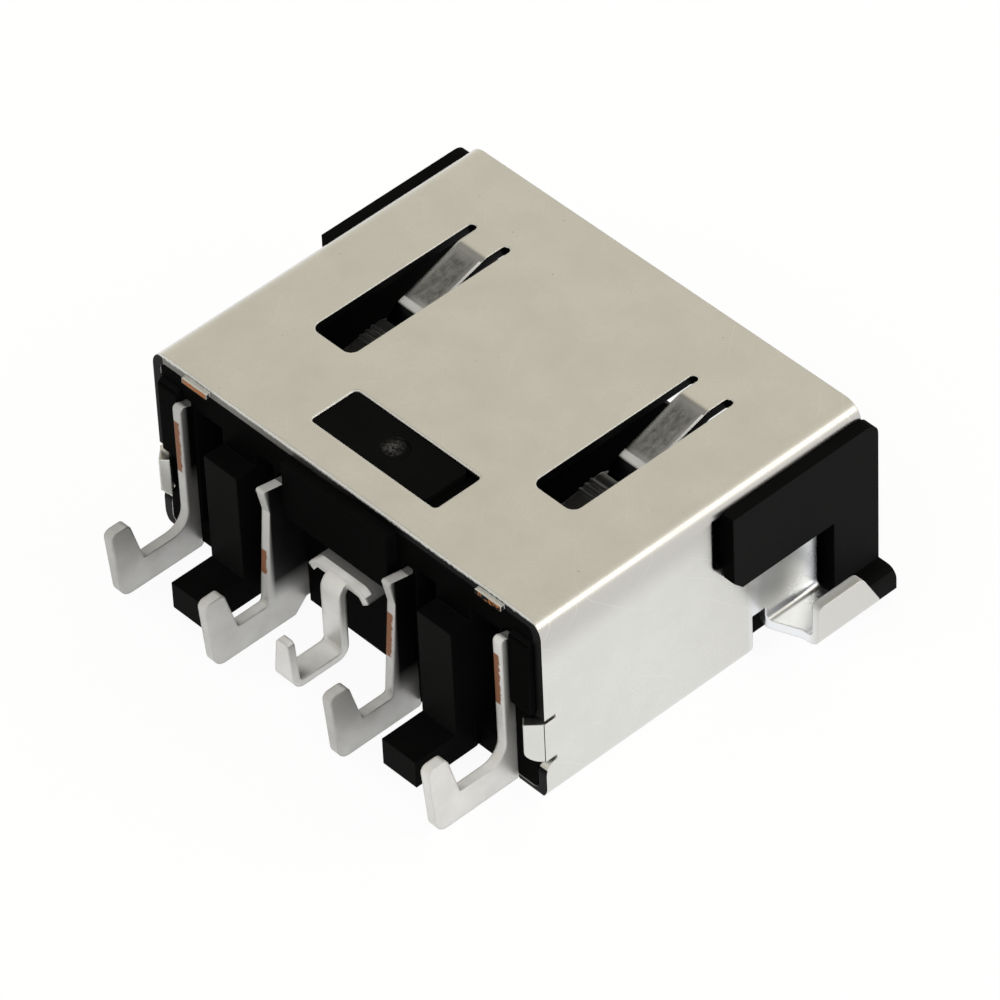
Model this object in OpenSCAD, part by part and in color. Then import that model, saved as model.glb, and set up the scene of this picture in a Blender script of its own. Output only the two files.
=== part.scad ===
// Slim rectangular DC power jack for a laptop board: a folded shell, a moulded housing with a
// tongue, two ground terminals, two power terminals and a sense terminal.
// The origin is the middle of the shell's underside. +Y is the mouth, where the plug goes in,
// and the solder tails leave at -Y with their tips turned up.

/* [Shell] */
// Width over the folded shell
shell_w = 12.3; // [12.1:0.05:12.8]
// Depth from the rear edge to the mouth
shell_d = 9.5; // [9.3:0.1:10.5]
// Height over the folded shell
shell_h = 5.3; // [5.2:0.05:5.8]
// Thickness of the shell's sheet
sheet = 0.25; // [0.2:0.01:0.27]
// Outside radius of the four folds
fold_r = 0.45; // [0.4:0.05:0.6]
// Distance from the seam in the floor to the middle
seam_x = 2.6; // [2:0.1:3.5]
// Open width of the seam
seam_gap = 0.05; // [0.03:0.01:0.1]
// Neck of each dovetail in the seam
dovetail_neck = 0.7; // [0.5:0.1:1]
// Head of each dovetail in the seam
dovetail_head = 1.1; // [1:0.1:1.4]
// Length of each dovetail in the seam
dovetail_len = 0.7; // [0.5:0.1:1]
// How far the floor stops short of the rear edge, to clear the tails
floor_setback = 0.8; // [0.7:0.05:1]
// Radius on the walls' lower rear corners
wall_corner_r = 0.2; // [0.1:0.05:0.3]

/* [Shell window] */
// Width of the window over the housing's boss
window_w = 3.97; // [3.7:0.01:4.3]
// Length of the window from rear to front
window_d = 1.37; // [1.2:0.01:1.5]
// Distance of the window from the rear edge
window_setback = 0.87; // [0.8:0.01:1]
// Radius in the corners of the window
window_r = 0.12; // [0.06:0.02:0.3]

/* [Shell springs] */
// Distance of each spring from the middle
spring_x = 3.5; // [3.4:0.05:3.7]
// Width of each spring
spring_w = 0.86; // [0.7:0.02:1]
// Width of the slit beside each spring
slit_w = 0.22; // [0.18:0.01:0.26]
// Distance of the open slot from the shell's rear edge
slot_setback = 2.86; // [2.7:0.02:3.1]
// Radius in the rear corners of the slot
slot_r = 0.25; // [0.1:0.05:0.35]
// Distance of the springs' roots from the mouth
root_setback = 2.35; // [2.2:0.05:2.5]
// How far the slits run past the roots
slit_past_root = 0.53; // [0.3:0.02:0.7]
// Length of the sloping part
spring_run = 1.9; // [1.8:0.05:2]
// Slope of the springs
spring_slope = 18; // [14:0.5:18]
// Length of the lip at each spring's end
lip_run = 0.32; // [0.2:0.02:0.4]
// Further slope of the lip
lip_slope = 28; // [15:1:32]

/* [Shell side openings] */
// Distance of the ear's notch from the mouth
notch_d = 4.5; // [4.3:0.05:4.7]
// Drop of the notch's upper edge below the shell's top
notch_drop = 0.4; // [0.35:0.01:0.5]
// Height of the notch
notch_h = 1.55; // [1.4:0.05:1.7]
// Radius in the rear lower corner of the notch
notch_r = 0.3; // [0.1:0.05:0.4]
// How far the wall stops short of the mouth below the notch
wall_setback = 1.37; // [1.36:0.02:1.6]
// Distance from the mouth to where the wall's lower part ends
relief_d = 3.35; // [3.2:0.05:3.5]
// Width of the strip cut away along the floor's edge beside the hook
floor_trim = 0.9; // [0.7:0.05:1]

/* [Shell side hooks] */
// Reach of the hooks from the side walls to their outer faces
hook_reach = 1.35; // [1.2:0.05:1.6]
// Height of the hooks' tips above the shell's underside
hook_tip_z = 1.95; // [1.8:0.05:2.2]
// Height of the hooks' arms at their upper faces
hook_arm_z = 0.94; // [0.86:0.02:1]
// Radius of the bends, at the middle of the sheet
hook_bend_r = 0.28; // [0.2:0.02:0.34]
// Height where the hooks leave the walls
hook_root_z = 1.3; // [1.25:0.05:1.5]
// Distance from the mouth to the rear edge of the hooks
hook_d = 2.95; // [2.8:0.05:3]
// How far the rear edge moves forward along the arms
hook_lean = 0.33; // [0.1:0.05:0.5]
// Width of the tips at the arm
hook_tip_w = 1.85; // [1.6:0.05:1.85]
// Width of the tips at their tops
hook_top_w = 1.3; // [0.9:0.05:1.35]
// Radius on the corners of the tips
hook_tip_r = 0.22; // [0.1:0.02:0.3]

/* [Shell crimp tabs] */
// Height of the tabs on the walls' rear edges
crimp_h = 1.1; // [0.9:0.05:1.3]
// Height of the tabs' lower edges above the underside
crimp_z = 1.26; // [1.1:0.02:1.4]
// Length of the tabs past the walls
crimp_run = 0.36; // [0.3:0.02:0.42]
// Angle by which the tabs are pressed inward
crimp_turn = 43; // [30:1:45]
// Radius of the tabs' bends, at the middle of the sheet
crimp_bend_r = 0.16; // [0.14:0.01:0.2]
// Height of the slits over and under the tabs
crimp_slit_h = 0.12; // [0.08:0.01:0.16]
// Length of the slits into the walls
crimp_slit_d = 0.33; // [0.25:0.01:0.45]
// Radius on the lower corners of the tabs
crimp_r = 0.3; // [0.2:0.02:0.34]
// Radius on the walls' corners under the lower slits
slit_corner_r = 0.34; // [0.2:0.02:0.4]

/* [Shell carrier stubs] */
// Distance of the stubs from the middle
stub_x = 4.65; // [4.5:0.05:4.8]
// Width of the stubs
stub_w = 0.8; // [0.6:0.05:0.9]
// Length of the stubs past the shell's rear edge
stub_run = 0.12; // [0.08:0.02:0.2]
// Thickness left at the stubs by the parting groove
stub_t = 0.14; // [0.1:0.01:0.18]

/* [Housing block] */
// Depth of the block that holds the terminals
block_d = 2.7; // [2.6:0.05:2.9]
// Width of the boss in the shell's window
boss_w = 3.54; // [3.2:0.02:3.8]
// Depth of the boss below the shell's top
boss_drop = 0.03; // [0.01:0.01:0.1]
// Radius of the round mark on the boss
mark_r = 0.35; // [0.2:0.05:0.45]
// Depth of the round mark
mark_depth = 0.04; // [0.02:0.01:0.08]
// Distance of the two ribs from the middle
rib_x = 3.4; // [3.3:0.02:3.5]
// Width of the ribs and of their feet
rib_w = 1.05; // [0.9:0.05:1.15]
// Reach of the ribs past the shell's rear edge
rib_reach = 0.57; // [0.4:0.01:0.7]
// Height of the ribs' tops
rib_z = 3.9; // [3.6:0.05:4.1]
// Reach of the feet past the shell's rear edge
foot_reach = 1.76; // [1.5:0.02:1.9]
// Height of the feet's upper faces
foot_z = 0.9; // [0.8:0.05:1]
// Height of the feet's lower faces
foot_clear = 0.15; // [0.08:0.01:0.2]
// Depth of the pockets beside the ribs
pocket_d = 0.85; // [0.7:0.05:0.9]
// Height of the pockets' upper edges
pocket_z = 4.35; // [4.2:0.05:4.45]
// Width of the overhang between the power terminals
overhang_w = 3.3; // [3:0.05:3.5]
// Reach of the overhang past the shell's rear edge
overhang_reach = 0.3; // [0.2:0.02:0.4]
// Height of the overhang's lower edge
overhang_z = 3.45; // [3.3:0.05:3.6]
// Width of the corner pillars
pillar_w = 0.6; // [0.45:0.01:0.62]
// Reach of the pillars past the shell's rear edge
pillar_reach = 0.14; // [0.05:0.01:0.2]
// Height of the pillars' lower edges
pillar_z = 2.42; // [2.4:0.02:2.6]

/* [Housing mouth] */
// Thickness of the cheeks that line the side walls
cheek_t = 0.27; // [0.25:0.01:0.3]
// Distance by which the ears stand out from the side walls
ear_out = 0.35; // [0.3:0.01:0.4]
// Gap between the notch's rear edge and the ears
ear_gap = 0.3; // [0.2:0.02:0.35]
// Height of the ears' lower edges
ear_z = 2.85; // [2.7:0.05:3]
// Chamfer on the rear lower corners of the ears
ear_chamfer = 0.25; // [0.1:0.05:0.3]
// Depth of the front posts from rear to front
post_d = 1.36; // [1.2:0.02:1.38]
// Reach of the front posts past the shell's mouth
post_reach = 0.17; // [0.1:0.01:0.25]
// Radius on the posts' upper front corners
post_r = 0.34; // [0.2:0.02:0.45]
// Height by which the ears rise over the notch's upper edge, outside the walls
ear_rise = 0.08; // [0.02:0.02:0.12]
// Outward reach of the knobs at the posts' feet, from the ears' faces
knob_out = 0.55; // [0.4:0.05:0.6]
// Height of the knobs' tops
knob_z = 0.92; // [0.8:0.02:1]
// Height of the knobs' lower faces
knob_clear = 0.35; // [0.2:0.05:0.4]
// Depth of the knobs from rear to front
knob_d = 0.86; // [0.7:0.02:0.88]

/* [Tongue] */
// Width of the tongue that enters the plug
tongue_w = 8.8; // [8.4:0.1:9]
// Height of the tongue
tongue_h = 1.8; // [1.7:0.05:1.9]
// Distance of the tongue's end from the mouth
tongue_setback = 1.3; // [1:0.1:1.6]
// Chamfer round the tongue's end
tongue_chamfer = 0.3; // [0.1:0.05:0.4]
// Width of the socket for the plug's middle pin
socket_w = 1.5; // [1.4:0.05:1.7]
// Height of the socket
socket_h = 1.1; // [1:0.05:1.2]
// Radius in the corners of the socket
socket_r = 0.2; // [0.1:0.05:0.3]

/* [Terminals] */
// Thickness of the power and ground terminals' sheet
blade_t = 0.25; // [0.2:0.01:0.27]
// Depth of the blades inside the block
blade_in = 1.5; // [1.4:0.05:1.6]
// Height of the tails' lower edges above the shell's underside
tail_clear = 0.1; // [0.05:0.01:0.15]
// Height of the blades' lower edges inside the block
blade_in_z = 0.45; // [0.4:0.01:0.6]
// Height of the tails' tips
tip_z = 2.08; // [1.8:0.02:2.3]
// Reach of the tips past the shell's rear edge
tip_reach = 2.52; // [2.3:0.02:2.7]
// Width of the tips
tip_w = 0.55; // [0.4:0.01:0.65]
// How far the tips lean out from the hooks' throats
tip_lean = 0.33; // [0.2:0.01:0.4]
// Radius on the corners of the tips
tip_r = 0.16; // [0.08:0.01:0.19]
// Radius on the heels of the tails
heel_r = 0.32; // [0.2:0.02:0.4]

/* [Power terminals] */
// Distance of the power blades from the middle
power_x = 2.0; // [1.95:0.01:2.1]
// Height of the blades at the shell's rear edge
power_z = 4.09; // [4:0.01:4.2]
// Rise of the blades' top edges toward their rear corners
power_rise = 0.13; // [0:0.01:0.2]
// Reach of the blades past the shell's rear edge
power_reach = 0.67; // [0.6:0.01:0.75]
// Depth of the shallow waist in the blades' rear edges
power_waist = 0.15; // [0.05:0.01:0.2]
// Height of the arms' upper edges
power_arm_z = 0.9; // [0.8:0.01:0.95]
// Inner edge of the contact leaves, from the middle
leaf_x = 2.64; // [2.6:0.02:2.68]
// Width of the contact leaves
leaf_w = 1.7; // [1.5:0.05:1.7]
// Thickness of the contact leaves
leaf_t = 0.2; // [0.15:0.01:0.22]
// Gap between the leaves and the tongue
leaf_gap = 0.1; // [0.06:0.01:0.14]
// Straight length of the leaves in front of the block
leaf_run = 1.25; // [1.1:0.05:1.3]
// Length of the leaves' rising part
leaf_rise_run = 1.0; // [0.8:0.05:1.1]
// Slope of the rising part
leaf_slope = 8; // [5:1:10]
// Number of ridges across each leaf
ridges = 3; // [2:1:4]
// Spacing of the ridges
ridge_pitch = 0.17; // [0.14:0.01:0.2]
// Radius of the ridges
ridge_r = 0.05; // [0.03:0.01:0.06]

/* [Ground terminals] */
// Distance of the ground blades from the middle
ground_x = 5.09; // [5.05:0.01:5.15]
// Height of the blades at the shell's rear edge
ground_z = 4.32; // [4.2:0.01:4.5]
// Rise of the blades' top edges toward their rear corners
head_rise = 0.12; // [0.02:0.01:0.2]
// Reach of the blades past the shell's rear edge
ground_reach = 0.3; // [0.2:0.01:0.38]
// Height of the arms' upper edges
ground_arm_z = 0.88; // [0.8:0.01:1]
// Radius where the blades turn into the arms
ground_fillet = 0.5; // [0.3:0.05:0.6]
// Thickness of the contact beams along the cheeks
beam_t = 0.2; // [0.15:0.01:0.21]
// Height of the contact beams
beam_h = 1.1; // [0.9:0.05:1.15]
// Height of the contact beams' middle
beam_z = 1.55; // [1.5:0.05:1.65]
// Angle of the joggle that brings each beam out to its cheek
joggle_turn = 40; // [35:1:45]
// Radius of the bends in the beams
beam_bend_r = 0.3; // [0.25:0.05:0.35]
// Straight length of the beams behind the contact
beam_run = 1.2; // [1:0.1:1.4]
// Length of each slope of the beams' contacts
contact_run = 0.9; // [0.7:0.05:1]
// Slope of the beams' contacts
contact_slope = 14; // [8:1:16]

/* [Sense terminal] */
// Thickness of the sense terminal's sheet
sense_t = 0.2; // [0.16:0.01:0.22]
// Width of the sense terminal's strip
sense_w = 0.6; // [0.5:0.05:0.7]
// Height of the strip's upper face where it leaves the block
sense_z = 2.8; // [2.7:0.02:2.85]
// Reach of the upright part past the shell's rear edge
sense_reach = 0.55; // [0.5:0.01:0.6]
// Radius of the upper bend, at the middle of the sheet
sense_bend_r = 0.3; // [0.2:0.05:0.35]
// Radius of the lower bends, at the middle of the sheet
sense_hook_r = 0.22; // [0.15:0.01:0.26]
// Height of the arm's upper face
sense_arm_z = 0.85; // [0.75:0.01:0.9]
// Reach of the turned-up tip past the shell's rear edge
sense_tip_reach = 1.98; // [1.85:0.01:2.1]
// Height of the turned-up tip
sense_tip_z = 1.95; // [1.8:0.05:2.1]
// Width of the turned-up tip at its end
sense_tip_w = 0.36; // [0.3:0.02:0.45]
// Width over the shoulders
shoulder_w = 1.9; // [1.7:0.05:2]
// Angle of the turned-down shoulder ends
shoulder_turn = 55; // [30:5:60]
// Length of the turned-down shoulder ends
shoulder_run = 0.16; // [0.1:0.02:0.2]
// Opening between the fork's prongs
fork_gap = 0.8; // [0.7:0.05:0.85]
// Width of each prong
prong_w = 0.2; // [0.15:0.01:0.22]
// Length of the prongs inside the socket
prong_run = 2.6; // [2:0.1:3.2]

/* [Fits] */
// Clearance between the housing and the shell
fit = 0.03; // [0.02:0.01:0.04]
// Clearance between the terminals and the housing
slot_fit = 0.03; // [0.02:0.01:0.04]

/* [Hidden] */
$fn = 48;
bend_steps = 6;
corner_steps = 6;
over = 1;

// Main planes
rear = -shell_d / 2;
mouth = shell_d / 2;
wall = shell_w / 2;
inner_w = shell_w - 2 * sheet;
inner_h = shell_h - 2 * sheet;
mid_z = shell_h / 2;
block_front = rear + block_d;
blade_front = rear + blade_in;

// Springs
root_y = mouth - root_setback;
slot_w = spring_w + 2 * slit_w;

// Side openings
notch_y = mouth - notch_d;
notch_top = shell_h - notch_drop;
notch_z = notch_top - notch_h;
hook_y = mouth - hook_d;
hook_face = wall + hook_reach;

// Housing
cheek_x = inner_w / 2 - fit - cheek_t;
ear_face = wall + ear_out;
post_front = mouth + post_reach;
tongue_end = mouth - tongue_setback;
tongue_top = mid_z + tongue_h / 2;

// Terminals
leaf_z = tongue_top + leaf_gap;
leaf_top = leaf_z + leaf_t;
beam_x = inner_w / 2 - fit - cheek_t / 2;
sense_mid_z = sense_z - sense_t / 2;

// Unit vector along an angle
function along(angle) = [cos(angle), sin(angle)];

// Unit vector along a vector
function unit(v) = v / norm(v);

// Left-hand normal of a heading
function normal(heading) = [-sin(heading), cos(heading)];

// Points and headings along the middle of a bent strip, each step being [run, bend radius, turn]
function stations(steps, at = [0, 0], heading = 0, i = 0) =
    i == len(steps) ? [] :
    let (
        turn = steps[i][2],
        lever = sign(turn) * steps[i][1],
        hub = at + steps[i][0] * along(heading) + lever * normal(heading),
        count = turn == 0 ? 0 : bend_steps
    )
    concat(
        [for (k = [0:count])
            let (h = heading + turn * k / bend_steps)
            [hub - lever * normal(h), h]],
        stations(steps, hub - lever * normal(heading + turn), heading + turn, i + 1)
    );

// Outline of a bent strip of thickness t that starts at the origin and heads along +X
function strip_outline(steps, t) =
    let (s = concat([[[0, 0], 0]], stations(steps)))
    concat(
        [for (p = s) p[0] + t / 2 * normal(p[1])],
        [for (k = [len(s) - 1:-1:0]) s[k][0] - t / 2 * normal(s[k][1])]
    );

// One corner at p between its neighbours a and b, rounded to radius r
function round_corner(a, p, b, r) =
    let (
        u = unit(a - p),
        v = unit(b - p),
        half = acos(u * v) / 2,
        hub = p + unit(u + v) * r / sin(half),
        from = p + u * r / tan(half) - hub,
        to = p + v * r / tan(half) - hub,
        start = atan2(from.y, from.x),
        sweep = (atan2(to.y, to.x) - start + 540) % 360 - 180
    )
    [for (k = [0:corner_steps]) hub + r * along(start + sweep * k / corner_steps)];

// An outline whose corners are given as [x, y, radius]
function round_outline(corners) =
    let (n = len(corners), p = [for (c = corners) [c.x, c.y]])
    [for (i = [0:n - 1])
        each corners[i].z == 0
            ? [p[i]]
            : round_corner(p[(i + n - 1) % n], p[i], p[(i + 1) % n], corners[i].z)];

// A child on both sides of the middle plane
module both_sides() {
    children();
    mirror([1, 0, 0]) children();
}

// An outline in Y and Z, extruded from x0 to x1
module along_x(x0, x1) {
    translate([x0, 0, 0])
        rotate([90, 0, 90])
            linear_extrude(x1 - x0) children();
}

// An outline in X and Z, extruded from y0 to y1
module along_y(y0, y1) {
    translate([0, y1, 0])
        rotate([90, 0, 0])
            linear_extrude(y1 - y0) children();
}

// A box between two opposite corners
module box(low, high) {
    translate(low) cube(high - low);
}

// A rectangle about the origin with rounded corners
module round_rect(w, h, r) {
    square([w - 2 * r, h], center = true);
    square([w, h - 2 * r], center = true);
    for (x = [-1, 1], y = [-1, 1])
        translate([x * (w / 2 - r), y * (h / 2 - r)]) circle(r);
}

// ---- shell ----

module wrap() {
    along_y(rear, mouth)
        translate([0, mid_z])
            difference() {
                round_rect(shell_w, shell_h, fold_r);
                round_rect(inner_w, inner_h, fold_r - sheet);
            }
}

// Outline of one dovetail of the seam, grown all round
module dovetail(grow) {
    polygon([
        [0, -dovetail_neck / 2 - grow],
        [dovetail_len + grow, -dovetail_head / 2 - grow],
        [dovetail_len + grow, dovetail_head / 2 + grow],
        [0, dovetail_neck / 2 + grow]
    ]);
}

module seam_cut() {
    translate([seam_x, 0, -over])
        linear_extrude(sheet + 2 * over)
            difference() {
                union() {
                    translate([0, rear - over]) square([seam_gap, shell_d + 2 * over]);
                    for (y = [-1, 1])
                        translate([0, y * shell_d / 5]) dovetail(seam_gap);
                }
                for (y = [-1, 1])
                    translate([-seam_gap, y * shell_d / 5]) {
                        dovetail(0);
                        translate([0, -dovetail_neck / 2]) square([2 * seam_gap, dovetail_neck]);
                    }
            }
}

module window_cut() {
    translate([0, rear + window_setback + window_d / 2, shell_h - sheet - over])
        linear_extrude(sheet + 2 * over) round_rect(window_w, window_d, window_r);
}

module spring_slot_cut() {
    slot_y = rear + slot_setback;
    translate([spring_x, 0, shell_h - sheet - over])
        linear_extrude(sheet + 2 * over) {
            translate([0, (slot_y + root_y) / 2]) round_rect(slot_w, root_y - slot_y, slot_r);
            translate([-slot_w / 2, (slot_y + root_y) / 2]) square([slot_w, (root_y - slot_y) / 2]);
            for (side = [-1, 1])
                translate([side * (spring_w + slit_w) / 2, root_y]) {
                    translate([-slit_w / 2, -slit_w]) square([slit_w, slit_past_root + slit_w / 2]);
                    translate([0, slit_past_root - slit_w / 2]) circle(d = slit_w);
                }
        }
}

module spring() {
    steps = [
        [sheet, sheet, -spring_slope],
        [spring_run, sheet, -lip_slope],
        [lip_run, 0, 0]
    ];
    along_x(spring_x - spring_w / 2, spring_x + spring_w / 2)
        translate([root_y + sheet, shell_h - sheet / 2])
            mirror([1, 0])
                polygon(strip_outline(steps, sheet));
}

module notch_cut() {
    along_x(wall - sheet - over, wall + over) {
        polygon(round_outline([
            [notch_y, notch_top, 0],
            [mouth + over, notch_top, 0],
            [mouth + over, notch_z, 0],
            [notch_y, notch_z, notch_r]
        ]));
        translate([mouth - wall_setback, -over])
            square([wall_setback + over, notch_z + 2 * over]);
    }
}

// The wall's foot and the floor's edge are cut away beside the hook
module relief_cut() {
    box([wall - floor_trim, mouth - relief_d, -over], [wall + over, mouth + over, hook_root_z]);
}

module crimp_slit_cut() {
    for (z = [crimp_z - crimp_slit_h, crimp_z + crimp_h])
        box([wall - sheet - over, rear - over, z],
            [wall + over, rear + crimp_slit_d, z + crimp_slit_h]);
    along_x(wall - sheet - over, wall + over)
        translate([rear, crimp_z - crimp_slit_h])
            difference() {
                translate([-over, -slit_corner_r])
                    square([over + slit_corner_r, slit_corner_r + crimp_slit_h / 2]);
                translate([slit_corner_r, -slit_corner_r]) circle(slit_corner_r);
            }
}

module wall_corner_cut() {
    along_x(-wall - over, wall + over)
        translate([rear, 0])
            difference() {
                translate([-over, -over]) square(over + wall_corner_r);
                translate([wall_corner_r, wall_corner_r]) circle(wall_corner_r);
            }
}

// A tab pressed inward behind the housing's corner
module crimp_tab() {
    bend_y = rear + sheet / 2;
    tab_end = bend_y - crimp_run * cos(crimp_turn) - (crimp_bend_r + sheet / 2) * sin(crimp_turn);
    intersection() {
        translate([wall - sheet / 2, bend_y + sheet, crimp_z])
            linear_extrude(crimp_h)
                rotate(-90)
                    polygon(strip_outline(
                        [[sheet, crimp_bend_r, -crimp_turn], [crimp_run, 0, 0]], sheet));
        along_x(0, wall + over)
            polygon(round_outline([
                [tab_end, crimp_z, crimp_r],
                [bend_y + sheet, crimp_z, 0],
                [bend_y + sheet, crimp_z + crimp_h, 0],
                [tab_end, crimp_z + crimp_h, 0]
            ]));
    }
}

// A hook bent out of the wall and up, widening from the wall to its tip
module side_hook() {
    arm_mid = hook_arm_z - sheet / 2;
    bar = hook_face - sheet / 2 - (wall - sheet / 2) - 2 * hook_bend_r;
    root = sheet / 2;
    steps = [
        [hook_root_z + root - arm_mid - hook_bend_r, hook_bend_r, 90],
        [bar, hook_bend_r, 90],
        [hook_tip_z - arm_mid - hook_bend_r, 0, 0]
    ];
    tip_y = hook_y + hook_lean;
    tip_end = tip_y + hook_tip_w;
    intersection() {
        along_y(hook_y, tip_end)
            translate([wall - sheet / 2, hook_root_z + root])
                rotate(-90)
                    polygon(strip_outline(steps, sheet));
        linear_extrude(shell_h)
            polygon([
                [wall - sheet, hook_y],
                [wall, hook_y],
                [hook_face - sheet - hook_bend_r, tip_y],
                [hook_face, tip_y],
                [hook_face, tip_end],
                [hook_face - sheet, tip_end],
                [ear_face + fit, mouth - wall_setback],
                [wall - sheet, mouth - wall_setback]
            ]);
        union() {
            box([0, rear, 0], [hook_face - sheet - hook_bend_r, post_front, shell_h]);
            along_x(hook_face - sheet - hook_bend_r, hook_face)
                polygon(round_outline([
                    [tip_y, 0, 0],
                    [tip_end, 0, 0],
                    [tip_end, hook_arm_z, hook_tip_r],
                    [tip_y + hook_top_w, hook_tip_z, hook_tip_r],
                    [tip_y, hook_tip_z, hook_tip_r / 2]
                ]));
        }
    }
}

// What is left where the shell was broken from its carrier
module carrier_stub() {
    stub_low = shell_h - sheet;
    along_x(stub_x - stub_w / 2, stub_x + stub_w / 2)
        polygon([
            [rear + sheet, stub_low],
            [rear - stub_run, stub_low],
            [rear - stub_run, stub_low + stub_t],
            [rear, stub_low + stub_t],
            [rear + sheet, shell_h]
        ]);
}

module shell() {
    color("#c8c3b6") {
        difference() {
            wrap();
            seam_cut();
            window_cut();
            both_sides() {
                spring_slot_cut();
                notch_cut();
                relief_cut();
                crimp_slit_cut();
            }
            box([floor_trim - wall, rear - over, -over],
                [wall - floor_trim, rear + floor_setback, sheet + over]);
            wall_corner_cut();
        }
        both_sides() {
            spring();
            side_hook();
            crimp_tab();
            carrier_stub();
        }
    }
}

// ---- terminals ----

// Outline of a J-shaped tail from the throat of its hook round to the blade's lower edge
function tail_corners(arm_z, throat) =
    let (throat_y = rear - tip_reach + tip_w + tip_lean, heel_y = rear - tip_reach + tip_lean / 2)
    [
        [throat_y, arm_z, throat],
        [throat_y - tip_lean, tip_z, tip_r],
        [throat_y - tip_lean - tip_w, tip_z, tip_r],
        [heel_y, tail_clear, heel_r],
        [rear, tail_clear, 0],
        [rear + blade_in_z - tail_clear, blade_in_z, 0]
    ];

module power_blade() {
    polygon(round_outline(concat(
        [
            [blade_front, leaf_top, 0],
            [rear + slot_fit + blade_t, leaf_top, 0],
            [rear + slot_fit + blade_t, power_z, 0],
            [rear, power_z, 0],
            [rear - power_reach, power_z + power_rise, tail_clear / 2],
            [rear - power_reach + power_waist, (power_z + overhang_z) / 2 - blade_t, 0],
            [rear - power_reach - power_waist / 2, power_arm_z, tail_clear]
        ],
        tail_corners(power_arm_z, tail_clear),
        [[blade_front, blade_in_z, 0]]
    )));
}

module contact_leaf() {
    start = blade_front - blade_t;
    steps = [
        [block_front + leaf_run - start, leaf_t, leaf_slope],
        [leaf_rise_run, leaf_t, -4 * leaf_slope],
        [leaf_t, 0, 0]
    ];
    along_x(leaf_x, leaf_x + leaf_w)
        translate([start, leaf_z + leaf_t / 2])
            polygon(strip_outline(steps, leaf_t));
    crest = block_front + leaf_run + leaf_rise_run * cos(leaf_slope);
    for (i = [1:ridges]) {
        back = i * ridge_pitch;
        translate([leaf_x, crest - back, leaf_top + (leaf_rise_run - back) * sin(leaf_slope)])
            rotate([0, 90, 0])
                cylinder(r = ridge_r, h = leaf_w);
    }
}

module power_terminal() {
    along_x(power_x - blade_t / 2, power_x + blade_t / 2) power_blade();
    box([power_x - blade_t / 2, blade_front - 3 * blade_t, leaf_z],
        [leaf_x + leaf_w, blade_front, leaf_top]);
    contact_leaf();
}

module ground_blade() {
    polygon(round_outline(concat(
        [
            [blade_front, ground_z, 0],
            [rear, ground_z, 0],
            [rear - ground_reach, ground_z + head_rise, tail_clear],
            [rear - ground_reach, ground_arm_z, ground_fillet]
        ],
        tail_corners(ground_arm_z, tail_clear),
        [[blade_front, blade_in_z, 0]]
    )));
}

// A strip along the cheek that bows inward to press on the plug's side
module contact_beam(t) {
    drift = beam_x - ground_x;
    joggle = (drift - 2 * beam_bend_r * (1 - cos(joggle_turn))) / sin(joggle_turn);
    steps = [
        [blade_t, beam_bend_r, -joggle_turn],
        [joggle, beam_bend_r, joggle_turn],
        [beam_run, beam_bend_r, contact_slope],
        [contact_run, beam_bend_r, -2 * contact_slope],
        [contact_run, 0, 0]
    ];
    translate([ground_x, blade_front - blade_t])
        rotate(90)
            polygon(strip_outline(steps, t));
}

module ground_terminal() {
    along_x(ground_x - blade_t / 2, ground_x + blade_t / 2) ground_blade();
    translate([0, 0, beam_z - beam_h / 2])
        linear_extrude(beam_h) contact_beam(beam_t);
}

module sense_strip() {
    arm_mid = sense_arm_z - sense_t / 2;
    upright = rear - sense_reach + sense_t / 2;
    tip = rear - sense_tip_reach + sense_t / 2;
    steps = [
        [blade_front - upright - sense_bend_r, sense_bend_r, -90],
        [sense_mid_z - sense_bend_r - arm_mid - sense_hook_r, sense_hook_r, 90],
        [upright - tip - 2 * sense_hook_r, sense_hook_r, 90],
        [sense_tip_z - arm_mid - sense_hook_r, 0, 0]
    ];
    translate([blade_front, sense_mid_z])
        mirror([1, 0])
            polygon(strip_outline(steps, sense_t));
}

// The strip's full width, narrowing to a round end at the turned-up tip
module sense_taper() {
    half = sense_w / 2;
    box([-half, rear - sense_tip_reach + sense_t + sense_hook_r / 2, 0],
        [half, blade_front, shell_h]);
    along_y(rear - sense_tip_reach, rear - sense_tip_reach + sense_t + sense_hook_r / 2)
        polygon(round_outline([
            [-half, 0, 0],
            [half, 0, 0],
            [half, sense_arm_z, half],
            [sense_tip_w / 2, sense_tip_z, sense_tip_w / 3],
            [-sense_tip_w / 2, sense_tip_z, sense_tip_w / 3],
            [-half, sense_arm_z, half]
        ]));
}

// Half of the shouldered plate that holds the strip in the block
module sense_shoulder() {
    bend_w = 1.5 * sense_t * sin(shoulder_turn);
    steps = [
        [shoulder_w / 2 - bend_w - shoulder_run * cos(shoulder_turn), sense_t, -shoulder_turn],
        [shoulder_run, 0, 0]
    ];
    translate([0, sense_mid_z]) polygon(strip_outline(steps, sense_t));
}

module sense_terminal() {
    color("#d9d9d6") {
        intersection() {
            along_x(-sense_w / 2, sense_w / 2) sense_strip();
            sense_taper();
        }
        both_sides() {
            along_y(rear - overhang_reach, blade_front) sense_shoulder();
            box([fork_gap / 2, blade_front - sense_t, sense_z - sense_t],
                [fork_gap / 2 + prong_w, block_front + prong_run, sense_z]);
        }
    }
}

// ---- housing ----

// Outline of the housing where it fills the shell
module bore_outline() {
    translate([0, mid_z])
        round_rect(inner_w - 2 * fit, inner_h - 2 * fit, fold_r - sheet);
}

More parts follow.
